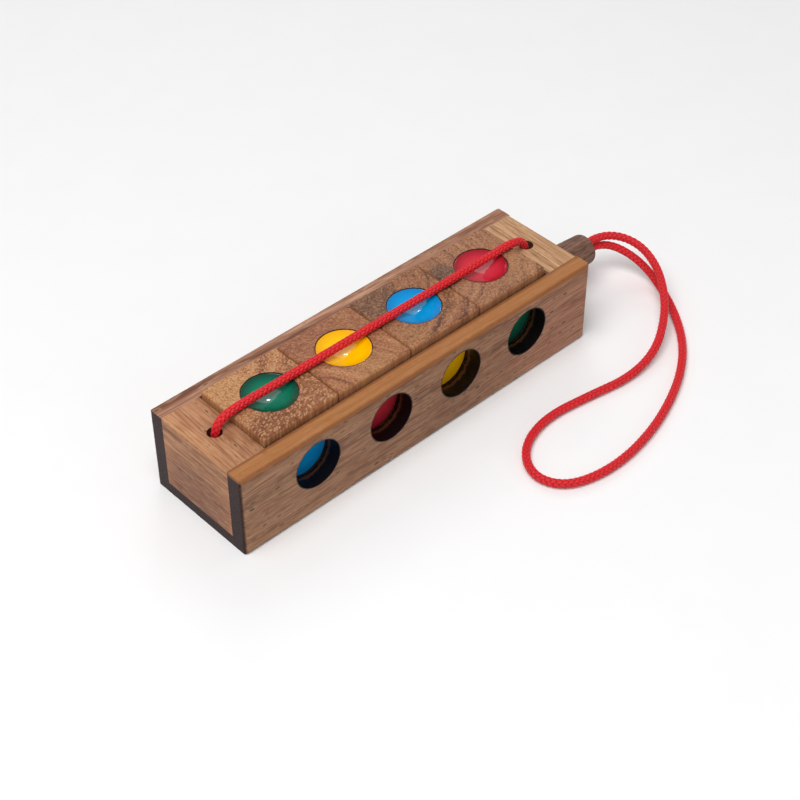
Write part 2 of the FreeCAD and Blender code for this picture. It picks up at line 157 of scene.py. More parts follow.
def spline_line(name, route):
    """The smooth line through a route, as the points that the spline itself gives."""
    curve = bpy.data.curves.new(name, "CURVE")
    curve.dimensions = "3D"
    spline = curve.splines.new("NURBS")
    spline.points.add(len(route) - 1)
    for point, place in zip(spline.points, route):
        point.co = (*metres(*place), 1.0)
    spline.order_u = SPLINE_ORDER
    spline.use_endpoint_u = True
    spline.resolution_u = SPLINE_STEPS
    holder = bpy.data.objects.new(name, curve)
    mesh = bpy.data.meshes.new_from_object(holder)
    mesh.name = name
    bpy.data.objects.remove(holder)
    bpy.data.curves.remove(curve)
    return mesh


def line_length(mesh):
    """The length of a line of points, in metres."""
    places = np.array([v.co for v in mesh.vertices], float)
    return float(np.linalg.norm(np.diff(places, axis=0), axis=1).sum())


held_line = spline_line("held_line", HELD_ROUTE)
loop_line = spline_line("loop_line", LOOP_ROUTE)
for label, line in (("held run", held_line), ("loop", loop_line)):
    print(label, "is", round(line_length(line) / MM, 1), "mm long")

# %% [markdown]
# ## A small tool for node trees
# Materials and Geometry Nodes are both trees of nodes. Writing them in code stays readable with one helper
# that adds a node, sets its properties, and fills or links its inputs in one line.

# %% A small tool for node trees


def add(tree, kind, feeds=None, stops=None, **settings):
    """Adds a node: settings are its properties, feeds its inputs, stops its colour ramp."""
    node = tree.nodes.new(kind)
    for key, value in settings.items():
        setattr(node, key, value)
    for key, value in (feeds or {}).items():
        if isinstance(value, bpy.types.NodeSocket):
            tree.links.new(value, node.inputs[key])
        else:
            node.inputs[key].default_value = value
    for index, (place, code) in enumerate(stops or []):
        marks = node.color_ramp.elements
        mark = marks[index] if index < 2 else marks.new(place)
        mark.position, mark.color = place, linear(code)
    return node


print("node helper ready")

# %% [markdown]
# ## Plain meshes, and three patterns that come back
# The toy is handed over as plain meshes that sit at the origin, so a few helpers run a tree on an object
# and keep only its result. Three patterns come back in several finishes, and each is written once: a value
# ruffled by soft noise, how squarely a surface faces along an axis, and the distance from a middle line.

# %% Helpers for meshes and finishes


def finish_shape(obj, tree, inputs):
    """Runs a Geometry Nodes tree on an object and returns its result as a plain mesh."""
    modifier = obj.modifiers.new("shape", "NODES")
    modifier.node_group = tree
    sockets = {s.name: s.identifier for s in tree.interface.items_tree if s.in_out == "INPUT"}
    for label, value in inputs.items():
        modifier[sockets[label]] = value
    ready = obj.evaluated_get(bpy.context.evaluated_depsgraph_get())
    mesh = bpy.data.meshes.new_from_object(ready)
    obj.modifiers.remove(modifier)
    return mesh


def put(name, mesh, material=None):
    """A new object at the origin, with its place in its mesh."""
    obj = bpy.data.objects.new(name, mesh)
    scene.collection.objects.link(obj)
    if material:
        obj.data.materials.clear()
        obj.data.materials.append(material)
    return obj


def blank_material(name):
    """A new material, and its node tree, still empty."""
    material = bpy.data.materials.new(name)
    material.use_nodes = True
    material.node_tree.nodes.clear()
    return material, material.node_tree


def mesh_of(work, name):
    """Turns a finished bmesh into a mesh and frees it."""
    mesh = bpy.data.meshes.new(name)
    work.to_mesh(mesh)
    work.free()
    return mesh


def triangles(obj):
    """How many triangles a mesh has."""
    return sum(len(p.vertices) - 2 for p in obj.data.polygons)


def ruffled(tree, value, place, size, amount):
    """A value with soft noise of a given size added, up to a given amount."""
    noise = add(tree, "ShaderNodeTexNoise", {"Vector": place, "Scale": 1 / size, "Detail": 2.0})
    feeds = {0: noise.outputs["Fac"], 1: amount, 2: value}
    return add(tree, "ShaderNodeMath", feeds, operation="MULTIPLY_ADD").outputs[0]


def facing_along(tree, axis):
    """How squarely the surface faces along an axis, from 0 to 1."""
    normal = add(tree, "ShaderNodeTexCoord").outputs["Normal"]
    part = add(tree, "ShaderNodeSeparateXYZ", {0: normal}).outputs[axis]
    return add(tree, "ShaderNodeMath", {0: part}, operation="ABSOLUTE").outputs[0]


def distance_across(tree, point, keep):
    """How far a point lies from the middle, counting only the axes that are kept."""
    flat = add(tree, "ShaderNodeVectorMath", {0: point, 1: keep}, operation="MULTIPLY").outputs[0]
    return add(tree, "ShaderNodeVectorMath", {0: flat}, operation="LENGTH").outputs["Value"]


print("mesh and finish helpers ready")

# %% [markdown]
# ## Polyester cord
# The cord is braided from bright red polyester yarn: smooth and a little shiny. The braid stores how high
# each point of a yarn rides, and the colour follows that height as painted shade: the yarn is darker down
# in the gaps where one yarn dives under two others, so the rows of dark gaps show as they do on the real
# cord.

# %% Polyester cord
# Gives the eye a lively, slightly shiny red; the darker gap and low colours are painted shade in the gaps
# of the braid.
YARN_GAP_SHADE, YARN_LOW_SHADE, YARN_TOP = "#2a0306", "#a50b15", "#de1a24"
YARN_ROUGHNESS, YARN_SHEEN, YARN_GLOSS = 0.52, 0.04, 0.36
YARN_SHADE_STOPS = ((0.30, YARN_GAP_SHADE), (0.95, YARN_TOP), (0.58, YARN_LOW_SHADE))
FIBRE_PITCH, FIBRE_BUMP, FIBRE_BUMP_AMOUNT = 0.09 * MM, 0.02 * MM, 0.6
FUZZ_PITCH, FUZZ_LIFT = 0.36 * MM, 0.22


def cord_material():
    """Red braided polyester, with painted shade down in the gaps of the braid."""
    material, tree = blank_material("red_polyester_braid")
    height = add(tree, "ShaderNodeAttribute", attribute_name="crown").outputs["Fac"]
    place = add(tree, "ShaderNodeTexCoord").outputs["Object"]
    lifted = ruffled(tree, height, place, FUZZ_PITCH, FUZZ_LIFT)
    # Painted shade: the lower a point of a yarn rides, the darker its colour.
    colour = add(tree, "ShaderNodeValToRGB", {"Fac": lifted}, stops=YARN_SHADE_STOPS).outputs["Color"]
    fine = add(
        tree, "ShaderNodeTexNoise", {"Vector": place, "Scale": 1 / FIBRE_PITCH, "Detail": 1.0}
    ).outputs["Fac"]
    bump = add(
        tree, "ShaderNodeBump", {"Height": fine, "Distance": FIBRE_BUMP, "Strength": FIBRE_BUMP_AMOUNT}
    ).outputs["Normal"]
    surface = add(
        tree,
        "ShaderNodeBsdfPrincipled",
        {
            "Base Color": colour,
            "Roughness": YARN_ROUGHNESS,
            "Normal": bump,
            "Sheen Weight": YARN_SHEEN,
            "Specular IOR Level": YARN_GLOSS,
        },
    ).outputs["BSDF"]
    add(tree, "ShaderNodeOutputMaterial", {"Surface": surface})
    return material


cord_red = cord_material()
print("made", cord_red.name)

# %% [markdown]
# ## Braiding the cord
# A braid is two sets of yarns that wind round a core in opposite directions, each going over two and under
# two of the others. That follows a rule, so Geometry Nodes make it: the line is copied once for each yarn,
# every copy is pushed out sideways by an angle that grows along the line, and a cosine of that same angle
# lifts it over or sinks it under. Because the lift depends only on the angle, the crossings line up in the
# straight rows of small chevrons that such a cord shows.

# %% Braiding the cord
YARNS_EACH_WAY = 8
TURN_LENGTH = 11.6 * MM
YARN_RADIUS = 0.86 * MM
YARN_WAVE = 0.16 * MM
YARN_WIDTH, YARN_THICK = 0.80 * MM, 0.34 * MM
YARN_STEP = 0.4 * MM
CORE_RADIUS = 0.8 * MM
YARN_SIDES, CORE_SIDES = 6, 10
BRAID_FLOATS = (
    "Turn length", "Yarn radius", "Wave", "Yarn width", "Yarn thickness", "Step", "Core radius"
)


def braid_tree():
    """Geometry Nodes that braid a cord along a line of edges."""
    tree = bpy.data.node_groups.new("braid_along_line", "GeometryNodeTree")
    port = tree.interface.new_socket
    port(name="Geometry", in_out="INPUT", socket_type="NodeSocketGeometry")
    port(name="Geometry", in_out="OUTPUT", socket_type="NodeSocketGeometry")
    port(name="Yarns each way", in_out="INPUT", socket_type="NodeSocketInt")
    for label in BRAID_FLOATS:
        port(name=label, in_out="INPUT", socket_type="NodeSocketFloat")
    port(name="Finish", in_out="INPUT", socket_type="NodeSocketMaterial")
    given = add(tree, "NodeGroupInput").outputs
    rail = add(tree, "GeometryNodeMeshToCurve", {"Mesh": given["Geometry"]}).outputs["Curve"]
    rail = add(
        tree, "GeometryNodeResampleCurve", {"Curve": rail, "Length": given["Step"]}, mode="LENGTH"
    ).outputs["Curve"]
    round_one = add(tree, "GeometryNodeCurvePrimitiveCircle", {"Resolution": YARN_SIDES, "Radius": 0.5})
    flat = add(
        tree,
        "ShaderNodeCombineXYZ",
        {"X": given["Yarn thickness"], "Y": given["Yarn width"], "Z": 1.0},
    ).outputs[0]
    section = add(
        tree, "GeometryNodeTransform", {"Geometry": round_one.outputs["Curve"], "Scale": flat}
    ).outputs["Geometry"]
    join = add(tree, "GeometryNodeJoinGeometry")
    for way in (1.0, -1.0):
        copies = add(
            tree,
            "GeometryNodeDuplicateElements",
            {"Geometry": rail, "Amount": given["Yarns each way"]},
            domain="SPLINE",
        )
        along = add(tree, "GeometryNodeSplineParameter").outputs["Length"]
        share = add(
            tree,
            "ShaderNodeMath",
            {0: copies.outputs["Duplicate Index"], 1: given["Yarns each way"]},
            operation="DIVIDE",
        ).outputs[0]
        angle = along
        for operation, other in (
            ("DIVIDE", given["Turn length"]),
            ("MULTIPLY", way),
            ("ADD", share),
            ("MULTIPLY", math.tau),
        ):
            angle = add(tree, "ShaderNodeMath", {0: angle, 1: other}, operation=operation).outputs[0]
        normal = add(tree, "GeometryNodeInputNormal").outputs["Normal"]
        tangent = add(tree, "GeometryNodeInputTangent").outputs["Tangent"]
        side = add(
            tree, "ShaderNodeVectorMath", {0: tangent, 1: normal}, operation="CROSS_PRODUCT"
        ).outputs[0]
        cosine = add(tree, "ShaderNodeMath", {0: angle}, operation="COSINE").outputs[0]
        sine = add(tree, "ShaderNodeMath", {0: angle}, operation="SINE").outputs[0]
        first = add(
            tree, "ShaderNodeVectorMath", {0: normal, "Scale": cosine}, operation="SCALE"
        ).outputs[0]
        second = add(tree, "ShaderNodeVectorMath", {0: side, "Scale": sine}, operation="SCALE").outputs[0]
        outward = add(tree, "ShaderNodeVectorMath", {0: first, 1: second}, operation="ADD").outputs[0]
        beat = add(
            tree, "ShaderNodeMath", {0: angle, 1: given["Yarns each way"]}, operation="MULTIPLY"
        ).outputs[0]
        beat = add(
            tree, "ShaderNodeMath", {0: beat, 1: 0.5, 2: -math.pi / 4}, operation="MULTIPLY_ADD"
        ).outputs[0]
        lift = add(tree, "ShaderNodeMath", {0: beat}, operation="COSINE").outputs[0]
        lift = add(tree, "ShaderNodeMath", {0: lift, 1: way}, operation="MULTIPLY").outputs[0]
        out = add(
            tree,
            "ShaderNodeMath",
            {0: lift, 1: given["Wave"], 2: given["Yarn radius"]},
            operation="MULTIPLY_ADD",
        ).outputs[0]
        push = add(tree, "ShaderNodeVectorMath", {0: outward, "Scale": out}, operation="SCALE").outputs[0]
        crown = add(tree, "ShaderNodeMath", {0: lift, 1: 0.5, 2: 0.5}, operation="MULTIPLY_ADD").outputs[0]
        kept = copies.outputs["Geometry"]
        for label, value, sort in (("outward", outward, "FLOAT_VECTOR"), ("crown", crown, "FLOAT")):
            kept = add(
                tree,
                "GeometryNodeStoreNamedAttribute",
                {"Geometry": kept, "Name": label, "Value": value},
                data_type=sort,
                domain="POINT",
            ).outputs["Geometry"]
        kept = add(tree, "GeometryNodeSetPosition", {"Geometry": kept, "Offset": push}).outputs["Geometry"]
        facing = add(
            tree, "GeometryNodeInputNamedAttribute", {"Name": "outward"}, data_type="FLOAT_VECTOR"
        ).outputs["Attribute"]
        kept = add(
            tree, "GeometryNodeSetCurveNormal", {"Curve": kept, "Normal": facing}, mode="FREE"
        ).outputs["Curve"]
        yarn = add(
            tree,
            "GeometryNodeCurveToMesh",
            {"Curve": kept, "Profile Curve": section, "Fill Caps": True},
        ).outputs["Mesh"]
        tree.links.new(yarn, join.inputs["Geometry"])
    ring = add(
        tree,
        "GeometryNodeCurvePrimitiveCircle",
        {"Resolution": CORE_SIDES, "Radius": given["Core radius"]},
    ).outputs["Curve"]
    core = add(
        tree, "GeometryNodeCurveToMesh", {"Curve": rail, "Profile Curve": ring, "Fill Caps": True}
    ).outputs["Mesh"]
    tree.links.new(core, join.inputs["Geometry"])
    whole = add(
        tree, "GeometryNodeSetShadeSmooth", {"Geometry": join.outputs["Geometry"]}
    ).outputs["Geometry"]
    whole = add(tree, "GeometryNodeRealizeInstances", {"Geometry": whole}).outputs["Geometry"]
    whole = add(
        tree, "GeometryNodeSetMaterial", {"Geometry": whole, "Material": given["Finish"]}
    ).outputs["Geometry"]
    add(tree, "NodeGroupOutput", {"Geometry": whole})
    return tree


braid = braid_tree()
BRAID_SIZES = {
    "Yarns each way": YARNS_EACH_WAY,
    "Turn length": TURN_LENGTH,
    "Yarn radius": YARN_RADIUS,
    "Wave": YARN_WAVE,
    "Yarn width": YARN_WIDTH,
    "Yarn thickness": YARN_THICK,
    "Step": YARN_STEP,
    "Core radius": CORE_RADIUS,
    "Finish": cord_red,
}


def braided(name, line, sizes=BRAID_SIZES):
    """A braided cord along a line, as a plain object."""
    rail = put(name + "_rail", line)
    mesh = finish_shape(rail, braid, sizes)
    bpy.data.objects.remove(rail)
    if "outward" in mesh.attributes:
        mesh.attributes.remove(mesh.attributes["outward"])
    return put(name, mesh)


loop = braided("hanging_loop_braid", loop_line)
held = braided("held_braid", held_line)
print("loop has", triangles(loop), "triangles, held run", triangles(held))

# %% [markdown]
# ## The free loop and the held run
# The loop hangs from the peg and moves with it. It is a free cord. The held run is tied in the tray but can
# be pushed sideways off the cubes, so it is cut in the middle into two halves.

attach(loop, "peg")
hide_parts("cord_loop", "cord_return_end")


def half_of(obj, name, keep_left):
    """One half of a mesh, cut at X = 0 and closed there."""
    work = bmesh.new()
    work.from_mesh(obj.data)
    cut = bmesh.ops.bisect_plane(
        work,
        geom=work.verts[:] + work.edges[:] + work.faces[:],
        plane_co=(0, 0, 0),
        plane_no=(1, 0, 0),
        clear_outer=keep_left,
        clear_inner=not keep_left,
    )
    edges = [e for e in cut["geom_cut"] if isinstance(e, bmesh.types.BMEdge)]
    bmesh.ops.holes_fill(work, edges=edges, sides=CORE_SIDES * 2)
    return put(name, mesh_of(work, name), cord_red)


for label, keep_left, sign, nodes in (
    ("held_cord_knot_half", True, -1, ("cord_left_leg", "cord_left_turn", "cord_span")),
    ("held_cord_peg_half", False, 1, ("cord_right_turn", "cord_right_leg", "cord_span")),
):
    half = half_of(held, label, keep_left)
    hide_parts(*nodes)
    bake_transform(half)
    print(label, "has", triangles(half), "triangles")
bpy.data.objects.remove(held)

# %% [markdown]
# ## The stopper knot
# Inside the left block the cord ends in a knot that is too fat for its hole. Nobody sees it, but it is what
# holds the cord. It is a barrel knot: the tail winds one and a half times round the standing cord. Pulled
# tight, the cord in it is squeezed thinner, so the same braid is made at a smaller scale along a spiral.

# %% The stopper knot
KNOT_SQUEEZE = 0.78
KNOT_TURNS, KNOT_POINTS, KNOT_R, KNOT_PITCH = 1.5, 8, 1.84, 1.5
knot_low, knot_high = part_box("anchor_knot")
knot_x = (knot_low.x + knot_high.x) / 2 / MM
knot_bottom, knot_top = knot_low.z / MM, knot_high.z / MM
tail_z = knot_bottom + CORD_D / MM * KNOT_SQUEEZE / 2
spiral = [
    (
        knot_x + KNOT_R * math.cos(math.tau * k / KNOT_POINTS),
        KNOT_R * math.sin(math.tau * k / KNOT_POINTS),
        tail_z + KNOT_PITCH * k / KNOT_POINTS,
    )
    for k in range(int(KNOT_TURNS * KNOT_POINTS) + 1)
]
standing = [(knot_x, 0, knot_top), (knot_x, 0, (knot_top + tail_z) / 2), (knot_x, 0, tail_z)]
knot_line = spline_line("knot_line", standing + spiral)
squeezed = ("Yarn radius", "Wave", "Yarn width", "Yarn thickness", "Core radius")
knot_sizes = {**BRAID_SIZES, **{label: BRAID_SIZES[label] * KNOT_SQUEEZE for label in squeezed}}
knot = braided("stopper_knot_braid", knot_line, knot_sizes)
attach(knot, "tray")
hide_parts("anchor_knot")
knot_box = [[round(c / MM, 2) for c in corner] for corner in (knot_low, knot_high)]
print("knot has", triangles(knot), "triangles, in the space", knot_box)

# %% [markdown]
# ## Wood as a solid
# The toy is sawn from open-pored tropical hardwood. A picture of wood wrapped round a block looks wrong at
# every corner, so this wood is solid: the colour is worked out at each point from where that point lay in
# the tree. Distance from the pith gives the growth rings, a stretched cell pattern gives the pores with
# their pale surroundings, and stretched noise gives the fibres. Along the grain the pores show as short
# dark dashes, and where the saw went across it, as on top of the cubes, as pale flecks with a dark eye.

# %% Wood as a solid
GRAIN_TURNS = {"X": (0, 0, 0), "Y": (0, 0, -math.pi / 2), "Z": (0, math.pi / 2, 0)}
GRAIN_LEAN = (0.0, 0.02, 0.03)
MIX_A, MIX_B, MIX_OUT = 6, 7, 2
WOOD_ROUGH, WOOD_SMOOTH, WOOD_GLOSS = 0.62, 0.42, 0.18
WOOD_BUMP, WOOD_BUMP_AMOUNT = 0.06 * MM, 0.5
RING_WANDER, RING_DETAIL, RING_BREAK = 5.0, 2.5, 0.6
RING_STOPS = (0.28, 0.72, 0.48)
PATCH_FROM, PATCH_TO = 0.42, 0.62
FIBRE_DARK, FIBRE_FROM, FIBRE_TO = "#c9bcb3", 0.62, 0.34
FLECK_EDGE, EYE_CORE = 0.26, 0.45
PORE_SWAY, CELL_STRETCH = 1.1, 1.7
FLECK_CHANCE, PORE_CHANCE = (0.0, 0.3), (0.25, 0.75)
BLUSH_HAZE, BLUSH_SOFT, HAZE_SIZE = 8 * MM, 0.45, 7 * MM
# Each noise: how long it is along the grain and how wide across it in mm, its detail and its roughness.
GRAIN_NOISE = {
    "drift": (60, 14, 3.0, 0.5),
    "cloud": (45, 11, 2.0, 0.5),
    "fibre": (14, None, 3.0, 0.65),
    "wobble": (12, 1.4, 1.0, 0.5),
}
Coat = namedtuple("Coat", "value clear solid most stain blend gloss", defaults=("MIX", None))


def wood(
    name,
    grain,
    pith,
    tones,
    patch,
    fleck,
    pore,
    middle=(0.0, 0.0),
    ring_mm=2.6,
    cell_mm=0.8,
    cell_long=6.0,
    fibre_mm=0.45,
    full=0.30,
    eye_size=0.17,
    tints_and_painted_light=(),
    marks=(),
):
    """Solid wood: tones of the rings, then (colour, amount) of patches, flecks and pores.

    The pith is where the middle of the tree lay, in mm from the middle of the piece, across the grain.

    Tints and painted light are soft patches of colour (middle in mm, radius in mm, colour, amount): one on
    the front wall is a painted pool of light. Marks come last. All of them are coats: where a value runs
    from clear to solid, up to that much of a tint lies on the wood.
    """
    material, tree = blank_material(name)
    place = add(tree, "ShaderNodeTexCoord").outputs["Object"]
    turned = [a + b for a, b in zip(GRAIN_TURNS[grain], GRAIN_LEAN)]
    shift = (0, -pith[0] - middle[0], -pith[1] - middle[1])
    log = add(
        tree,
        "ShaderNodeMapping",
        {"Vector": place, "Scale": (1 / MM,) * 3, "Rotation": turned, "Location": shift},
    ).outputs[0]
    noise = {}
    for part, (along, across, detail, roughness) in GRAIN_NOISE.items():
        narrow = 1 / (across or fibre_mm)
        drawn = add(
            tree, "ShaderNodeVectorMath", {0: log, 1: (1 / along, narrow, narrow)}, operation="MULTIPLY"
        ).outputs[0]
        noise[part] = add(
            tree,
            "ShaderNodeTexNoise",
            {"Vector": drawn, "Scale": 1.0, "Detail": detail, "Roughness": roughness},
        ).outputs

    # The rings: how far the point lies from the pith, with the pith itself wandering along the log.
    drift = add(
        tree,
        "ShaderNodeVectorMath",
        {0: noise["drift"]["Color"], 1: (RING_WANDER,) * 3, 2: log},
        operation="MULTIPLY_ADD",
    ).outputs[0]
    depth = distance_across(tree, drift, (0, 1, 1))
    bands = add(
        tree,
        "ShaderNodeTexNoise",
        {"W": depth, "Scale": 1 / ring_mm, "Detail": RING_DETAIL, "Roughness": RING_BREAK},
        noise_dimensions="1D",
    ).outputs["Fac"]
    ringed = zip(RING_STOPS, (tones[0], tones[2], tones[1]))
    colour = add(tree, "ShaderNodeValToRGB", {"Fac": bands}, stops=list(ringed)).outputs["Color"]

    # The soft tints and painted light, the fibres, then each pore: a pale cell with a small dark eye. The
    # cells lie along the rings, so they are laid out by distance and angle round the pith.
    coats = [Coat(noise["cloud"]["Fac"], PATCH_FROM, PATCH_TO, patch[1], linear(patch[0]))]
    haze = add(
        tree, "ShaderNodeTexNoise", {"Vector": place, "Scale": 1 / HAZE_SIZE, "Detail": 2.0}
    ).outputs["Fac"]
    for middle, radius, stain, amount in tints_and_painted_light:
        off = add(
            tree, "ShaderNodeVectorMath", {0: place, 1: metres(*middle)}, operation="DISTANCE"
        ).outputs["Value"]
        off = add(
            tree, "ShaderNodeMath", {0: haze, 1: BLUSH_HAZE, 2: off}, operation="MULTIPLY_ADD"
        ).outputs[0]
        edge, soft = radius * MM + BLUSH_HAZE / 2, BLUSH_SOFT * radius * MM
        coats.append(Coat(off, edge + soft, edge - soft, amount, linear(stain)))
    fibre = noise["fibre"]["Fac"]
    coats.append(Coat(fibre, FIBRE_FROM, FIBRE_TO, 1.0, linear(FIBRE_DARK), "MULTIPLY"))
    swayed = add(
        tree,
        "ShaderNodeVectorMath",
        {0: noise["wobble"]["Color"], 1: (0, PORE_SWAY, PORE_SWAY), 2: drift},
        operation="MULTIPLY_ADD",
    ).outputs[0]
    reach = math.hypot(*pith)
    toward = (-pith[0] / reach, -pith[1] / reach)
    seen = {}
    for part, line in (
        ("along", (1, 0, 0)),
        ("out", (0, toward[0], toward[1])),
        ("aside", (0, -toward[1], toward[0])),
    ):
        seen[part] = add(
            tree, "ShaderNodeVectorMath", {0: swayed, 1: line}, operation="DOT_PRODUCT"
        ).outputs["Value"]
    crosswise = add(tree, "ShaderNodeCombineXYZ", {"X": seen["out"], "Y": seen["aside"]}).outputs[0]
    radius = add(tree, "ShaderNodeVectorMath", {0: crosswise}, operation="LENGTH").outputs["Value"]
    angle = add(
        tree, "ShaderNodeMath", {0: seen["aside"], 1: seen["out"]}, operation="ARCTAN2"
    ).outputs[0]
    polar = add(tree, "ShaderNodeCombineXYZ", {"X": seen["along"], "Y": radius, "Z": angle}).outputs[0]
    drawn = add(
        tree,
        "ShaderNodeVectorMath",
        {0: polar, 1: (1 / cell_long, 1 / cell_mm, reach / (cell_mm * CELL_STRETCH))},
        operation="MULTIPLY",
    ).outputs[0]
    cells = add(tree, "ShaderNodeTexVoronoi", {"Vector": drawn, "Scale": 1.0}).outputs
    chance = add(tree, "ShaderNodeSeparateColor", {"Color": cells["Color"]}).outputs["Red"]
    likely = {}
    for part, (least, surely), most in (("fleck", FLECK_CHANCE, fleck[1]), ("pore", PORE_CHANCE, 1.0)):
        likely[part] = add(
            tree,
            "ShaderNodeMapRange",
            {"Value": chance, "From Min": least, "From Max": surely, "To Max": most},
            interpolation_type="SMOOTHSTEP",
        ).outputs["Result"]
    coats.append(Coat(cells["Distance"], full + FLECK_EDGE, full, likely["fleck"], linear(fleck[0])))
    eye = add(
        tree,
        "ShaderNodeMapRange",
        {
            "Value": cells["Distance"],
            "From Min": eye_size,
            "From Max": EYE_CORE * eye_size,
            "To Max": likely["pore"],
        },
        interpolation_type="SMOOTHSTEP",
    ).outputs["Result"]
    coats.append(Coat(eye, 0.0, 1.0, pore[1], linear(pore[0])))
    for mark in marks:
        coats += mark(tree, place)

    # Every coat is laid on in turn; a coat with a gloss of its own also changes the shine.
    shine = add(
        tree, "ShaderNodeMapRange", {"Value": fibre, "To Min": WOOD_ROUGH, "To Max": WOOD_SMOOTH}
    ).outputs["Result"]
    for coat in coats:
        amount = add(
            tree,
            "ShaderNodeMapRange",
            {"Value": coat.value, "From Min": coat.clear, "From Max": coat.solid, "To Max": coat.most},
            interpolation_type="SMOOTHSTEP",
        ).outputs["Result"]
        colour = add(
            tree,
            "ShaderNodeMix",
            {0: amount, MIX_A: colour, MIX_B: coat.stain},
            data_type="RGBA",
            blend_type=coat.blend,
        ).outputs[MIX_OUT]
        if coat.gloss is not None:
            shine = add(tree, "ShaderNodeMix", {0: amount, 2: shine, 3: coat.gloss}).outputs[0]
    relief = add(tree, "ShaderNodeMath", {0: eye, 1: -1.0, 2: fibre}, operation="MULTIPLY_ADD").outputs[0]
    bump = add(
        tree,
        "ShaderNodeBump",
        {"Height": relief, "Distance": WOOD_BUMP, "Strength": WOOD_BUMP_AMOUNT},
    ).outputs["Normal"]
    surface = add(
        tree,
        "ShaderNodeBsdfPrincipled",
        {"Base Color": colour, "Roughness": shine, "Normal": bump, "Specular IOR Level": WOOD_GLOSS},
    ).outputs["BSDF"]
    add(tree, "ShaderNodeOutputMaterial", {"Surface": surface})
    return material


def dress(node, material):
    """Gives a node of the solid model its finish."""
    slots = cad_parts[node].data.materials
    slots.clear()
    slots.append(material)


print("wood recipe ready")

# %% [markdown]
# ## Marks on the tray
# Three things mark the tray boards. The end grain at the short sides drank the finish and went dark. The
# windows were cut with heat, so their bores are scorched black with one browner ring. The top faces of the
# front wall carry painted light: a warmer, lighter tan where the lamp overhead falls, between two darker
# lines along the corners. Each mark is a small function that knows only where the point lies, and gives
# back the coats to lay on the wood.

# %% Marks on the tray
TRAY_TOP_Z = 25.0
WINDOW_MID_X, WINDOW_HALF_PITCH, WINDOW_Z, WINDOW_R = 24.2, 12.1, 15.3, 6.9
WALL_INNER_Y, WALL_T, FLOOR_T = 12.5, 5.0, 3.3
END_GRAIN = ("#1c0e0f", "#4a2c28", "#2e1818")
END_GRAIN_STOPS, END_SPECK, END_FROM, END_TO = (0.36, 0.76, 0.54), 0.5, 0.45, 0.9
TOP_LIGHT_TAN, WARM_FROM, WARM_TO, WARM_MOST = "#ae7038", 1.3, 0.5, 0.68
EDGE_LINE, LINE_WIDTH, LINE_MOST, LINE_RAGGED, LINE_WANDER = "#6e4028", 0.9, 0.6, 1.5, 0.5
CHAR, CHAR_BROWN, CHAR_GLOSS = "#100909", "#5a3824", 0.33
CHAR_STOPS = ((0.20, CHAR), (0.46, CHAR), (0.27, CHAR_BROWN), (0.36, CHAR_BROWN))
CHAR_RAGGED, CHAR_SOFT, CHAR_BITE, CHAR_DRIFT = 1.1, 0.12, -0.5, 0.25


def dark_ends(tree, place):
    """End grain at both short sides of the tray: it faces along X."""
    specks = add(
        tree, "ShaderNodeTexNoise", {"Vector": place, "Scale": 1 / (END_SPECK * MM), "Detail": 2.0}
    ).outputs["Fac"]
    stops = list(zip(END_GRAIN_STOPS, END_GRAIN))
    skin = add(tree, "ShaderNodeValToRGB", {"Fac": specks}, stops=stops).outputs["Color"]
    return [Coat(facing_along(tree, "X"), END_FROM, END_TO, 1.0, skin)]


def top_light_and_lines(tree, place):
    """The top faces, tinted a warmer, lighter tan as painted light from the lamp overhead, with a darker
    line along both corners.
    """
    spot = add(tree, "ShaderNodeSeparateXYZ", {0: place}).outputs
    low, high = (TRAY_TOP_Z - WARM_FROM) * MM, (TRAY_TOP_Z - WARM_TO) * MM
    # Painted light: the top faces are tinted a warmer, lighter tan where the lamp overhead falls.
    coats = [Coat(spot["Z"], low, high, WARM_MOST, linear(TOP_LIGHT_TAN))]
    across = add(tree, "ShaderNodeMath", {0: spot["Y"]}, operation="ABSOLUTE").outputs[0]
    across = ruffled(tree, across, place, LINE_RAGGED * MM, LINE_WANDER * MM)
    only_top = add(
        tree,
        "ShaderNodeMapRange",
        {"Value": spot["Z"], "From Min": low, "From Max": high, "To Max": LINE_MOST},
    ).outputs["Result"]
    outer, inner = WALL_INNER_Y + WALL_T, WALL_INNER_Y + LINE_WANDER
    for start, solid in ((outer - LINE_WIDTH, outer), (inner + LINE_WIDTH, inner)):
        coats.append(Coat(across, start * MM, solid * MM, only_top, linear(EDGE_LINE)))
    return coats


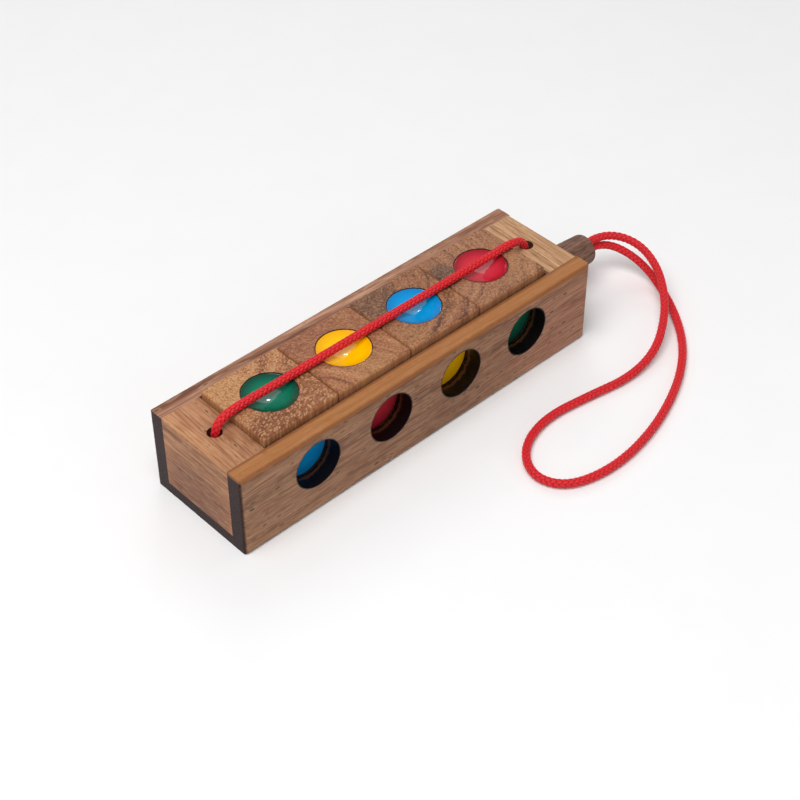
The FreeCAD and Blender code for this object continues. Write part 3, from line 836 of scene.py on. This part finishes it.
def scorched(bore_axis):
    """Scorched windows in a wall, whose bores run along Y, or in the floor, whose bores run along Z."""

    def mark(tree, place):
        point = add(tree, "ShaderNodeVectorMath", {0: place, "Scale": 1 / MM}, operation="SCALE").outputs[0]
        spot = add(tree, "ShaderNodeSeparateXYZ", {0: point}).outputs
        # Folding X twice brings all four windows onto one.
        side = spot["X"]
        for fold in (WINDOW_MID_X, WINDOW_HALF_PITCH):
            side = add(tree, "ShaderNodeMath", {0: side}, operation="ABSOLUTE").outputs[0]
            side = add(tree, "ShaderNodeMath", {0: side, 1: fold}, operation="SUBTRACT").outputs[0]
        level, middle = ("Z", WINDOW_Z) if bore_axis == "Y" else ("Y", 0.0)
        other = add(tree, "ShaderNodeMath", {0: spot[level], 1: middle}, operation="SUBTRACT").outputs[0]
        pair = add(tree, "ShaderNodeCombineXYZ", {"X": side, "Y": other}).outputs[0]
        away = add(tree, "ShaderNodeVectorMath", {0: pair}, operation="LENGTH").outputs["Value"]
        rough = add(
            tree, "ShaderNodeTexNoise", {"Vector": place, "Scale": 1 / (CHAR_RAGGED * MM), "Detail": 3.0}
        ).outputs["Fac"]
        ragged = add(
            tree, "ShaderNodeMath", {0: rough, 1: CHAR_BITE, 2: away}, operation="MULTIPLY_ADD"
        ).outputs[0]
        thick, start = (WALL_T, WALL_INNER_Y) if bore_axis == "Y" else (FLOOR_T, 0.0)
        deep = add(tree, "ShaderNodeMath", {0: spot[bore_axis]}, operation="ABSOLUTE").outputs[0]
        deep = add(
            tree, "ShaderNodeMath", {0: deep, 1: 1 / thick, 2: -start / thick}, operation="MULTIPLY_ADD"
        ).outputs[0]
        deep = add(
            tree, "ShaderNodeMath", {0: rough, 1: CHAR_DRIFT, 2: deep}, operation="MULTIPLY_ADD"
        ).outputs[0]
        skin = add(tree, "ShaderNodeValToRGB", {"Fac": deep}, stops=CHAR_STOPS).outputs["Color"]
        return [Coat(ragged, WINDOW_R + CHAR_SOFT, WINDOW_R - CHAR_SOFT, 1.0, skin, "MIX", CHAR_GLOSS)]

    return mark


CORD_HOLE_X, BORE_EDGE, BORE_CORE, BORE_BROWN, BORE_MOST = 53.6, 2.1, 1.85, "#2b1710", 0.92


def dark_bore(hole_x):
    """The drilled cord hole in an end block, darkened brown inside."""

    def mark(tree, place):
        local = add(
            tree, "ShaderNodeVectorMath", {0: place, 1: metres(hole_x, 0, 0)}, operation="SUBTRACT"
        ).outputs[0]
        away = distance_across(tree, local, (1, 1, 0))
        return [Coat(away, BORE_EDGE * MM, BORE_CORE * MM, BORE_MOST, linear(BORE_BROWN))]

    return mark


# The sanded edge in this list is the painted top light with its two darker lines.
print("four marks ready: end grain, sanded edge, scorch and bored hole")


# %% [markdown]
# ## The tray boards
# The walls are a grey-brown board with straight grain along the tray, peppered with short dark pores. The
# back wall is a redder board. The end blocks run across the tray; the left one is golden, the right one is
# pale with bold dark streaks. Cutting them from different places in a log makes each board its own.

# %% The tray boards
# Gives the eye a straight, grey-brown grain with short dark pores and warmer patches; the top faces and
# the far end carry painted light.
front_wood = wood(
    "sanded_hardwood_grey_brown",
    "X",
    pith=(-70.0, -30.0),
    tones=("#734e39", "#9a7055", "#b68866"),
    patch=("#916a53", 0.5),
    fleck=("#b08a67", 0.3),
    pore=("#3d261b", 0.8),
    ring_mm=2.2,
    cell_mm=0.85,
    cell_long=4.5,
    eye_size=0.27,
    tints_and_painted_light=(
        # The first patch is a painted pool of light that brightens the far end of the wall; the second
        # lightens the wall near its left end, and the third darkens it low in the middle.
        ((50.0, -17.5, 5.0), 18.0, "#b8836a", 0.6),
        ((-48.0, -17.5, 16.0), 14.0, "#a87e60", 0.35),
        ((8.0, -17.5, 2.0), 11.0, "#7d5a46", 0.4),
    ),
    marks=(dark_ends, top_light_and_lines, scorched("Y")),
)
# Gives the eye a redder board with broad soft bands.
back_wood = wood(
    "sanded_hardwood_red_brown",
    "X",
    pith=(60.0, -25.0),
    tones=("#7f523f", "#ae7f66", "#c4957a"),
    patch=("#96684f", 0.5),
    fleck=("#c9a284", 0.25),
    pore=("#43291f", 0.8),
    eye_size=0.24,
    marks=(dark_ends, scorched("Y")),
)
# Gives the eye a plain brown board, seen mostly from below.
floor_wood = wood(
    "sanded_hardwood_base_board",
    "X",
    pith=(20.0, -55.0),
    tones=("#8a6551", "#a07860", "#b0876b"),
    patch=("#96705b", 0.5),
    fleck=("#b8926f", 0.25),
    pore=("#3f2a20", 0.8),
    eye_size=0.24,
    marks=(dark_ends, scorched("Z")),
)
# Gives the eye a golden block whose grain crosses the tray.
left_block_wood = wood(
    "sanded_hardwood_golden",
    "Y",
    pith=(80.0, -40.0),
    tones=("#8f6045", "#b78260", "#ca956c"),
    patch=("#a4724f", 0.45),
    fleck=("#cfa278", 0.25),
    pore=("#4a2b1a", 0.7),
    cell_mm=0.75,
    cell_long=4.5,
    eye_size=0.22,
    tints_and_painted_light=(((-49.0, -9.0, 25.0), 3.5, "#93623f", 0.5), ((-60.0, 0.0, 6.0), 12.0, "#835848", 0.7)),
    marks=(dark_bore(-CORD_HOLE_X),),
)
# Gives the eye a pale block with bold dark streaks.
right_block_wood = wood(
    "sanded_hardwood_pale_streaked",
    "Y",
    pith=(-95.0, -12.0),
    tones=("#74492f", "#bc8f69", "#cda27a"),
    patch=("#c59b74", 0.4),
    fleck=("#dcb88f", 0.3),
    pore=("#4a2c1c", 0.7),
    ring_mm=2.3,
    tints_and_painted_light=(((50.0, 0.0, 25.0), 3.0, "#cda079", 0.6),),
    marks=(dark_bore(CORD_HOLE_X),),
)
for node, finish in (
    ("front_wall", front_wood),
    ("back_wall", back_wood),
    ("floor_panel", floor_wood),
    ("left_end_block", left_block_wood),
    ("right_end_block", right_block_wood),
):
    dress(node, finish)
    print(node, "is", finish.name)

# %% [markdown]
# ## The cubes
# Each cube is a slice across the log, so its top shows end grain: rings, and hundreds of pale flecks, each
# the soft tissue round one pore. Its sides show the same pores as upright streaks. Where a cube's recesses
# were bored the rim is scorched, which draws a thin dark line round each disc.

# %% The cubes
CUBE_COUNT, CUBE_PITCH, CUBE_MID_Z, CUBE_HALF, CUBE_TOP_Z = 4, 24.2, 15.3, 12.0, 27.3
RECESS_R, SCORCH_WIDTH, SCORCH_SOFT, SCORCH_MOST = 7.15, 0.22, 0.1, 0.85
SKIN_FROM, SKIN_TO, RIM_RAGGED, RIM_BITE = 3.4, 2.9, 0.9, -0.35
SIDE_TONE, SIDE_MOST, SIDE_FROM, SIDE_TO = "#a8744e", 0.45, 0.8, 0.3


def cube_x(number):
    """Where along the tray the middle of cube 1, 2, 3 or 4 lies, in mm."""
    return (number - (CUBE_COUNT + 1) / 2) * CUBE_PITCH


def quiet_sides(tree, place):
    """The sides were planed along the grain, which shows fewer pores than the sawn top."""
    return [Coat(facing_along(tree, "Z"), SIDE_FROM, SIDE_TO, SIDE_MOST, linear(SIDE_TONE))]


def burnt_rims(middle_x):
    """A thin scorched ring round each of a cube's six recesses."""

    def mark(tree, place):
        local = add(
            tree,
            "ShaderNodeMapping",
            {"Vector": place, "Scale": (1 / MM,) * 3, "Location": (-middle_x, 0.0, -CUBE_MID_Z)},
        ).outputs[0]
        sides = add(tree, "ShaderNodeVectorMath", {0: local}, operation="ABSOLUTE").outputs[0]
        reach = add(tree, "ShaderNodeSeparateXYZ", {0: sides}).outputs
        rough = add(
            tree, "ShaderNodeTexNoise", {"Vector": place, "Scale": 1 / (RIM_RAGGED * MM), "Detail": 2.0}
        ).outputs["Fac"]
        coats = []
        for axis, keep in (("X", (0, 1, 1)), ("Y", (1, 0, 1)), ("Z", (1, 1, 0))):
            away = distance_across(tree, local, keep)
            away = add(
                tree, "ShaderNodeMath", {0: rough, 1: RIM_BITE, 2: away}, operation="MULTIPLY_ADD"
            ).outputs[0]
            near_face = add(
                tree,
                "ShaderNodeMapRange",
                {
                    "Value": reach[axis],
                    "From Min": CUBE_HALF - SKIN_FROM,
                    "From Max": CUBE_HALF - SKIN_TO,
                    "To Max": SCORCH_MOST,
                },
            ).outputs["Result"]
            edge, core = RECESS_R + SCORCH_WIDTH - SCORCH_SOFT, RECESS_R - SCORCH_SOFT
            coats.append(Coat(away, edge, core, near_face, linear(CHAR)))
        return coats

    return mark


# Each gives the eye warm end grain: cube 1 golden and boldly flecked, 2 redder, 3 and 4 with a dark corner.
CUBE_LOOKS = (
    {
        "pith": (45.0, 30.0),
        "tones": ("#8e583b", "#ad734d", "#c08b62"),
        "patch": ("#995e42", 0.5),
        "fleck": ("#d6aa7e", 0.5),
        "pore": ("#5c3a28", 0.35),
        "ring_mm": 3.2,
        "tints_and_painted_light": (
            ((-44.0, 8.0, CUBE_TOP_Z), 9.0, "#c39060", 0.8),
            ((-28.0, -6.0, CUBE_TOP_Z), 8.0, "#8a5638", 0.6),
            ((-42.0, -11.0, CUBE_TOP_Z), 8.0, "#7d4a30", 0.7),
        ),
    },
    {
        "pith": (-25.0, 40.0),
        "tones": ("#88543f", "#ab7350", "#c08a62"),
        "patch": ("#8f5b44", 0.5),
        "fleck": ("#c2946a", 0.36),
        "pore": ("#452a1e", 0.45),
        "ring_mm": 2.8,
        "tints_and_painted_light": (
            ((-18.0, 8.0, CUBE_TOP_Z), 9.0, "#98614a", 0.65),
            ((-12.0, -11.0, CUBE_TOP_Z), 6.0, "#b48358", 0.7),
        ),
    },
    {
        "pith": (22.0, 16.0),
        "tones": ("#634438", "#976449", "#b07e5a"),
        "patch": ("#7f543e", 0.5),
        "fleck": ("#c0926a", 0.42),
        "pore": ("#35221a", 0.45),
        "ring_mm": 2.2,
        "tints_and_painted_light": (
            ((4.0, 9.0, CUBE_TOP_Z), 8.0, "#5f463c", 0.7),
            ((3.0, -9.0, CUBE_TOP_Z), 5.0, "#ab7a53", 0.6),
            ((20.0, 0.0, CUBE_TOP_Z), 6.0, "#935e3e", 0.5),
        ),
    },
    {
        "pith": (14.0, 18.0),
        "tones": ("#6e4a3a", "#a06e53", "#b58461"),
        "patch": ("#875a45", 0.4),
        "fleck": ("#c09670", 0.38),
        "pore": ("#35221a", 0.45),
        "ring_mm": 2.4,
        "tints_and_painted_light": (
            ((25.5, 4.0, CUBE_TOP_Z), 5.0, "#52403c", 0.8),
            ((42.0, -2.0, CUBE_TOP_Z), 9.0, "#ad7c57", 0.6),
        ),
    },
)
for number, look in enumerate(CUBE_LOOKS, start=1):
    middle_x = cube_x(number)
    finish = wood(
        f"end_grain_hardwood_cube_{number}",
        "Z",
        cell_mm=0.5,
        cell_long=10.0,
        fibre_mm=0.6,
        full=0.32,
        marks=(quiet_sides, burnt_rims(middle_x)),
        middle=(0.0, -middle_x),
        **look,
    )
    dress(f"cube_{number}_block", finish)
    print("cube", number, "dressed in", finish.name)

# %% [markdown]
# ## The peg
# The peg is turned from a darker, walnut-like wood, with its grain along its length.

# %% The peg
# Gives the eye a dull chocolate brown with fine lines along the peg.
peg_wood = wood(
    "turned_dark_walnut",
    "X",
    pith=(10.0, 20.0),
    tones=("#553b30", "#7d5d4f", "#967464"),
    patch=("#694c40", 0.5),
    fleck=("#9a7c6a", 0.25),
    pore=("#2c1d18", 0.7),
    ring_mm=1.6,
    cell_mm=0.7,
)
dress("peg", peg_wood)
print("peg is", peg_wood.name)

# %% [markdown]
# ## Poured resin
# Each disc is coloured polyester resin poured into a bored recess. While it set it climbed the wood a
# little and sank in the middle, so its face is a shallow dish with a raised rim. Green and red are clear,
# yellow and blue are opaque; every disc has painted shade at its rim and a painted reflection in its
# middle.
# A turned profile gives the dish, and Geometry Nodes set one disc into every face of a cube that has that
# colour.

# %% Poured resin
DISC_R, RIM_DROP, SHOULDER_DROP, DISH_DROP, DISC_T = 7.05, 0.15, 0.36, 1.46, 2.95
DISC_TURNS, DISH_RINGS = 72, 12
MENISCUS = 0.55
CLIMB = ((0.0, 0.36), (0.25, 0.30), (0.43, 0.23))


def disc_profile():
    """Radius and height of the disc, from the middle of its face to the middle of its back, in mm."""
    inner = DISC_R - MENISCUS
    dish = [
        (inner * k / DISH_RINGS, -DISH_DROP + (DISH_DROP - SHOULDER_DROP) * (k / DISH_RINGS) ** 2)
        for k in range(DISH_RINGS)
    ]
    climb = [(inner + out, -drop) for out, drop in CLIMB]
    return dish + climb + [(DISC_R, -RIM_DROP), (DISC_R, -DISC_T), (0.0, -DISC_T)]


def turned(name, profile, turns):
    """A closed turned shape about Z from (radius, height) points in mm; both ends lie on the axis."""
    work = bmesh.new()
    across = work.verts.layers.float.new("across")
    widest = max(r for r, _ in profile)
    rings = []
    for radius, height in profile:
        count = 1 if radius == 0 else turns
        ring = []
        for k in range(count):
            angle = math.tau * k / turns
            vertex = work.verts.new(metres(radius * math.cos(angle), radius * math.sin(angle), height))
            vertex[across] = radius / widest
            ring.append(vertex)
        rings.append(ring)
    for one, two in zip(rings, rings[1:]):
        for k in range(turns):
            corners = (one[k % len(one)], two[k % len(two)])
            corners += (two[(k + 1) % len(two)], one[(k + 1) % len(one)])
            work.faces.new(list(dict.fromkeys(corners)))
    bmesh.ops.recalc_face_normals(work, faces=work.faces)
    for face in work.faces:
        face.smooth = True
    return mesh_of(work, name)


disc_mesh = turned("resin_disc", disc_profile(), DISC_TURNS)
disc = put("resin_disc", disc_mesh)
print("one disc has", triangles(disc), "triangles")


def disc_setting_tree():
    """Geometry Nodes that set a disc at each point, facing along that point's stored direction."""
    tree = bpy.data.node_groups.new("discs_in_faces", "GeometryNodeTree")
    port = tree.interface.new_socket
    port(name="Geometry", in_out="INPUT", socket_type="NodeSocketGeometry")
    port(name="Geometry", in_out="OUTPUT", socket_type="NodeSocketGeometry")
    port(name="Disc", in_out="INPUT", socket_type="NodeSocketObject")
    port(name="Finish", in_out="INPUT", socket_type="NodeSocketMaterial")
    given = add(tree, "NodeGroupInput").outputs
    shape = add(
        tree,
        "GeometryNodeObjectInfo",
        {"Object": given["Disc"]},
        transform_space="ORIGINAL",
    ).outputs["Geometry"]
    facing = add(
        tree, "GeometryNodeInputNamedAttribute", {"Name": "facing"}, data_type="FLOAT_VECTOR"
    ).outputs["Attribute"]
    turn = add(tree, "FunctionNodeAlignRotationToVector", {"Vector": facing}, axis="Z").outputs[0]
    placed = add(
        tree,
        "GeometryNodeInstanceOnPoints",
        {"Points": given["Geometry"], "Instance": shape, "Rotation": turn},
    ).outputs["Instances"]
    placed = add(tree, "GeometryNodeRealizeInstances", {"Geometry": placed}).outputs["Geometry"]
    placed = add(
        tree, "GeometryNodeSetMaterial", {"Geometry": placed, "Material": given["Finish"]}
    ).outputs["Geometry"]
    add(tree, "NodeGroupOutput", {"Geometry": placed})
    return tree


setting = disc_setting_tree()

# %% [markdown]
# The resin itself is glossy. Its colour runs from a darker rim, painted shade, to a lighter middle, a
# painted reflection, by how far out a point of the disc lies, which the turned shape stored, and a faint
# cloud breaks it up as real pigment does.

# %% Resin colours
# Painted-shade rim, body and painted-reflection middle of each face, and its roughness: green and red
# give the eye a deep wet gloss, yellow and blue a smooth enamel-like one.
RESINS = {
    "green": ("#074a39", "#087054", "#2c806a", 0.06),
    "red": ("#a21a2b", "#cc2a3c", "#d43e4c", 0.06),
    "yellow": ("#f4b000", "#ffc400", "#ffc808", 0.1),
    "blue": ("#0084c8", "#0098dc", "#069cde", 0.1),
}
RESIN_IOR, RESIN_GLOSS = 1.54, 0.36
REFLECTION_STOP, BODY_STOP, RIM_SHADE_STOP = 0.30, 0.72, 1.0
CLOUD_SIZE, CLOUD_LIFT = 4 * MM, 0.12


def resin(colour_name):
    """Cast polyester resin of one colour."""
    shaded_rim, body, reflected_middle, roughness = RESINS[colour_name]
    material, tree = blank_material("cast_resin_" + colour_name)
    out = add(tree, "ShaderNodeAttribute", attribute_name="across").outputs["Fac"]
    place = add(tree, "ShaderNodeTexCoord").outputs["Object"]
    mark = ruffled(tree, out, place, CLOUD_SIZE, CLOUD_LIFT)
    # The ramp paints shade at the rim of each disc and a reflection in its middle.
    colour = add(
        tree,
        "ShaderNodeValToRGB",
        {"Fac": mark},
        stops=[(REFLECTION_STOP, reflected_middle), (RIM_SHADE_STOP, shaded_rim), (BODY_STOP, body)],
    ).outputs["Color"]
    surface = add(
        tree,
        "ShaderNodeBsdfPrincipled",
        {
            "Base Color": colour,
            "Roughness": roughness,
            "IOR": RESIN_IOR,
            "Specular IOR Level": RESIN_GLOSS,
        },
    ).outputs["BSDF"]
    add(tree, "ShaderNodeOutputMaterial", {"Surface": surface})
    return material


resins = {colour_name: resin(colour_name) for colour_name in RESINS}
# The way each face looks, and the colour of its disc on cubes 1 to 4.
FACES = {
    "top": ((0, 0, 1), ("green", "yellow", "blue", "red")),
    "bottom": ((0, 0, -1), ("red", "blue", "green", "yellow")),
    "front": ((0, -1, 0), ("blue", "red", "yellow", "green")),
    "back": ((0, 1, 0), ("yellow", "green", "red", "blue")),
    "left": ((-1, 0, 0), ("yellow", "red", "green", "blue")),
    "right": ((1, 0, 0), ("blue", "red", "yellow", "green")),
}
for number in range(1, CUBE_COUNT + 1):
    middle = Vector((cube_x(number), 0.0, CUBE_MID_Z))
    for colour_name, finish in resins.items():
        sides = {s: way for s, (way, colours) in FACES.items() if colours[number - 1] == colour_name}
        if not sides:
            continue
        points = bpy.data.meshes.new("seats")
        points.from_pydata([(middle + CUBE_HALF * Vector(way)) * MM for way in sides.values()], [], [])
        facing = points.attributes.new("facing", "FLOAT_VECTOR", "POINT")
        for k, way in enumerate(sides.values()):
            facing.data[k].vector = way
        seats = put("seats", points)
        mesh = finish_shape(seats, setting, {"Disc": disc, "Finish": finish})
        bpy.data.objects.remove(seats)
        piece = put(f"cube_{number}_{colour_name}_resin", mesh)
        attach(piece, f"cube_{number}")
        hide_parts(*[f"cube_{number}_{side}_inlay" for side in sides])
bpy.data.objects.remove(disc)
print("discs set into", CUBE_COUNT, "cubes")

# %% [markdown]
# ## Floor and light
# A plain pale sweep and soft studio light show the colours plainly. One wide lamp hangs over the toy and a
# dim fill stands in front. Two round lamps stand behind: the wide one lays a soft pale window on each
# glossy disc, and the narrow one adds a small bright spot.

# %% Floor and light
FLOOR_SIZE, FLOOR_GAP = 3.0, 0.05 * MM
FLOOR_TONES, FLOOR_GRAINS_PER_METRE, FLOOR_ROUGHNESS = ((0.0, "#f3f3f3"), (1.0, "#f6f6f6")), 60.0, 0.9


def floor_material():
    """Matt white paper sweep."""
    material, tree = blank_material("matt_paper_sweep")
    place = add(tree, "ShaderNodeTexCoord").outputs["Object"]
    grain = add(
        tree, "ShaderNodeTexNoise", {"Vector": place, "Scale": FLOOR_GRAINS_PER_METRE}
    ).outputs["Fac"]
    tone = add(tree, "ShaderNodeValToRGB", {"Fac": grain}, stops=FLOOR_TONES).outputs["Color"]
    surface = add(
        tree, "ShaderNodeBsdfPrincipled", {"Base Color": tone, "Roughness": FLOOR_ROUGHNESS}
    ).outputs["BSDF"]
    add(tree, "ShaderNodeOutputMaterial", {"Surface": surface})
    return material


work = bmesh.new()
bmesh.ops.create_grid(work, x_segments=1, y_segments=1, size=FLOOR_SIZE / 2)
bmesh.ops.translate(work, verts=work.verts, vec=(0, 0, -FLOOR_GAP))
# The gap keeps the sweep from lying in the same plane as the underside of the tray.
floor = put("floor", mesh_of(work, "floor"), floor_material())

WORLD_TONE, WORLD_STRENGTH = "#ffffff", 0.34
world = bpy.data.worlds.new("studio_air")
world.use_nodes = True
world.node_tree.nodes.clear()
glow = add(
    world.node_tree,
    "ShaderNodeBackground",
    {"Color": linear(WORLD_TONE), "Strength": WORLD_STRENGTH},
)
add(world.node_tree, "ShaderNodeOutputWorld", {"Surface": glow.outputs[0]})
scene.world = world

LAMPS = {
    "overhead": {"place": (-340, -130, 900), "size": 640, "power": 7.3, "shape": "SQUARE"},
    "front_fill": {"place": (-80, -970, 330), "size": 700, "power": 0.85, "shape": "SQUARE"},
    "rear_panel": {"place": (735, 880, 1100), "size": 880, "power": 2.8, "shape": "DISK"},
    "sparkle": {"place": (750, 962, 873), "size": 75, "power": 0.5, "shape": "DISK"},
}
for label, lamp in LAMPS.items():
    data = bpy.data.lights.new(label, "AREA")
    data.shape, data.size, data.energy = lamp["shape"], lamp["size"] * MM, lamp["power"]
    light = bpy.data.objects.new(label, data)
    light.location = metres(*lamp["place"])
    light.rotation_euler = (-light.location).to_track_quat("-Z", "Y").to_euler()
    scene.collection.objects.link(light)
print("lamps:", ", ".join(LAMPS))
